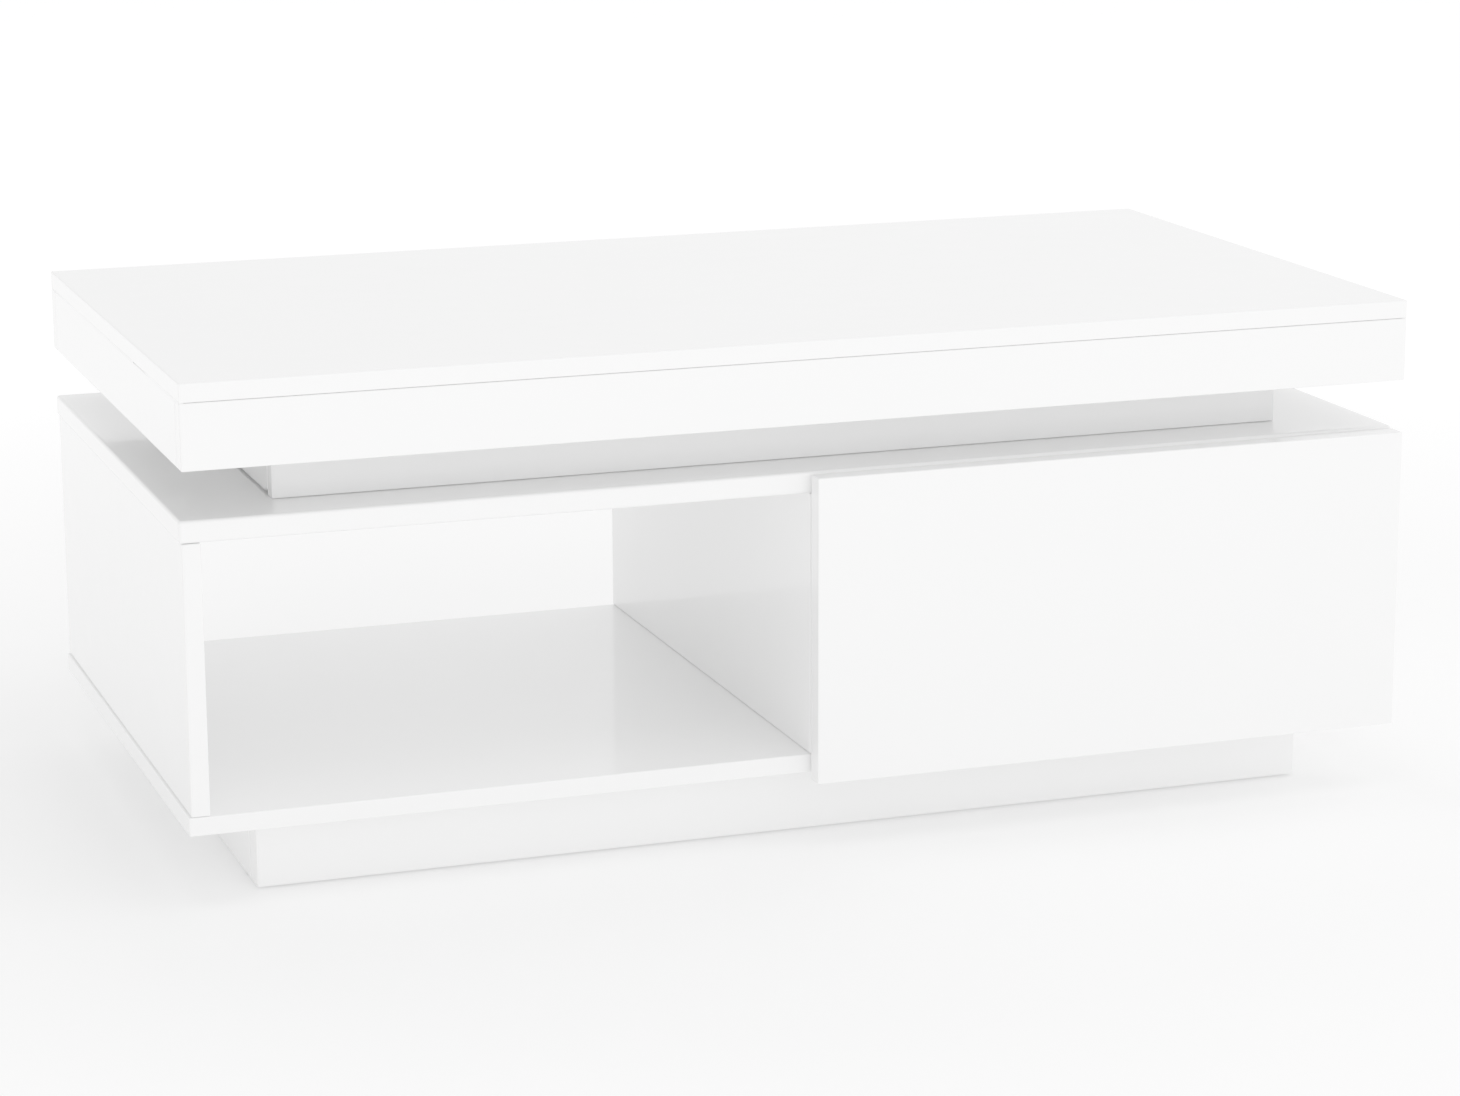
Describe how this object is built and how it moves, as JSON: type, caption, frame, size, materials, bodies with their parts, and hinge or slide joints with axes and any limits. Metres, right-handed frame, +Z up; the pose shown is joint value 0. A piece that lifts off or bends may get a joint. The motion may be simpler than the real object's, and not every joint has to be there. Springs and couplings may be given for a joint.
{
  "type": "lift top coffee table",
  "caption": "White gloss coffee table with a thick top that lifts forward over a storage compartment, an open shelf bay and a wide drawer.",
  "frame": {"origin": "on the floor, under the middle of the closed table", "axes": "+X towards the table's right-hand end as seen from the front, +Y towards the back, +Z up; the drawer front faces -Y"},
  "size_m": [1.1, 0.58, 0.45],
  "materials": {
    "white_lacquer": "high-gloss white lacquer on fibreboard, eased edges",
    "drawer_liner": "satin white melamine on board",
    "zinc_steel": "zinc-plated pressed steel",
    "spring_steel": "oiled dark spring wire",
    "bumper_rubber": "translucent soft rubber",
    "glide_plastic": "dark moulded plastic"
  },
  "bodies": {
    "root": {"plinth_front_rail": "white_lacquer", "plinth_rear_rail": "white_lacquer", "plinth_left_rail": "white_lacquer", "plinth_centre_rail": "white_lacquer", "plinth_right_rail": "white_lacquer", "bottom_board": "white_lacquer", "left_side_panel": "white_lacquer", "right_side_panel": "white_lacquer", "divider_panel": "white_lacquer", "drawer_bay_back_panel": "white_lacquer", "deck_board": "white_lacquer", "compartment_front_wall": "white_lacquer", "compartment_rear_wall": "white_lacquer", "compartment_left_wall": "white_lacquer", "compartment_right_wall": "white_lacquer", "floor_glide_front_left": "glide_plastic", "floor_glide_front_centre": "glide_plastic", "floor_glide_front_right": "glide_plastic", "floor_glide_rear_left": "glide_plastic", "floor_glide_rear_centre": "glide_plastic", "floor_glide_rear_right": "glide_plastic", "top_bumper_front_left": "bumper_rubber", "top_bumper_front_right": "bumper_rubber", "top_bumper_rear_left": "bumper_rubber", "top_bumper_rear_right": "bumper_rubber", "left_base_bracket": "zinc_steel", "left_main_base_pin": "zinc_steel", "left_follower_base_pin": "zinc_steel", "left_slide_cabinet_member": "zinc_steel", "left_lift_spring": "spring_steel", "right_base_bracket": "zinc_steel", "right_main_base_pin": "zinc_steel", "right_follower_base_pin": "zinc_steel", "right_slide_cabinet_member": "zinc_steel", "right_lift_spring": "spring_steel"},
    "main_arms": {"left_main_arm": "zinc_steel", "right_main_arm": "zinc_steel", "cross_tube": "zinc_steel"},
    "left_follower": {"left_follower_arm": "zinc_steel"},
    "right_follower": {"right_follower_arm": "zinc_steel"},
    "top": {"top_board": "white_lacquer", "apron_front": "white_lacquer", "apron_rear": "white_lacquer", "apron_left": "white_lacquer", "apron_right": "white_lacquer", "left_top_bracket": "zinc_steel", "left_main_top_pin": "zinc_steel", "left_follower_top_pin": "zinc_steel", "right_top_bracket": "zinc_steel", "right_main_top_pin": "zinc_steel", "right_follower_top_pin": "zinc_steel"},
    "drawer": {"drawer_front": "white_lacquer", "drawer_left_side": "drawer_liner", "drawer_right_side": "drawer_liner", "drawer_back": "drawer_liner", "drawer_bottom": "drawer_liner", "left_slide_drawer_member": "zinc_steel", "right_slide_drawer_member": "zinc_steel"},
    "left_slide_middle": {"left_slide_middle_member": "zinc_steel"},
    "right_slide_middle": {"right_slide_middle_member": "zinc_steel"}
  },
  "joints": [
    {"name": "lift", "type": "hinge", "parent": "root", "child": "main_arms", "pos_m": [0, -0.03, 0.362], "axis": [1, 0, 0], "range_deg": [0, 80]},
    {"name": "left_follower_turn", "type": "hinge", "parent": "root", "child": "left_follower", "pos_m": [-0.4377, -0.072, 0.388], "axis": [1, 0, 0], "range_deg": [0, 80]},
    {"name": "right_follower_turn", "type": "hinge", "parent": "root", "child": "right_follower", "pos_m": [0.4377, -0.072, 0.388], "axis": [1, 0, 0], "range_deg": [0, 80]},
    {"name": "top_level", "type": "hinge", "parent": "main_arms", "child": "top", "pos_m": [0, 0.17, 0.362], "axis": [1, 0, 0], "range_deg": [-80, 0]},
    {"name": "drawer_slide", "type": "slide", "parent": "root", "child": "drawer", "axis": [0, -1, 0], "range_m": [0, 0.43]},
    {"name": "left_slide_extend", "type": "slide", "parent": "root", "child": "left_slide_middle", "axis": [0, -1, 0], "range_m": [0, 0.215]},
    {"name": "right_slide_extend", "type": "slide", "parent": "root", "child": "right_slide_middle", "axis": [0, -1, 0], "range_m": [0, 0.215]}
  ],
  "couplings": [
    {"joint": "left_follower_turn", "follows": "lift", "ratio": 1},
    {"joint": "right_follower_turn", "follows": "lift", "ratio": 1},
    {"joint": "top_level", "follows": "lift", "ratio": -1},
    {"joint": "left_slide_extend", "follows": "drawer_slide", "ratio": 0.5},
    {"joint": "right_slide_extend", "follows": "drawer_slide", "ratio": 0.5}
  ]
}
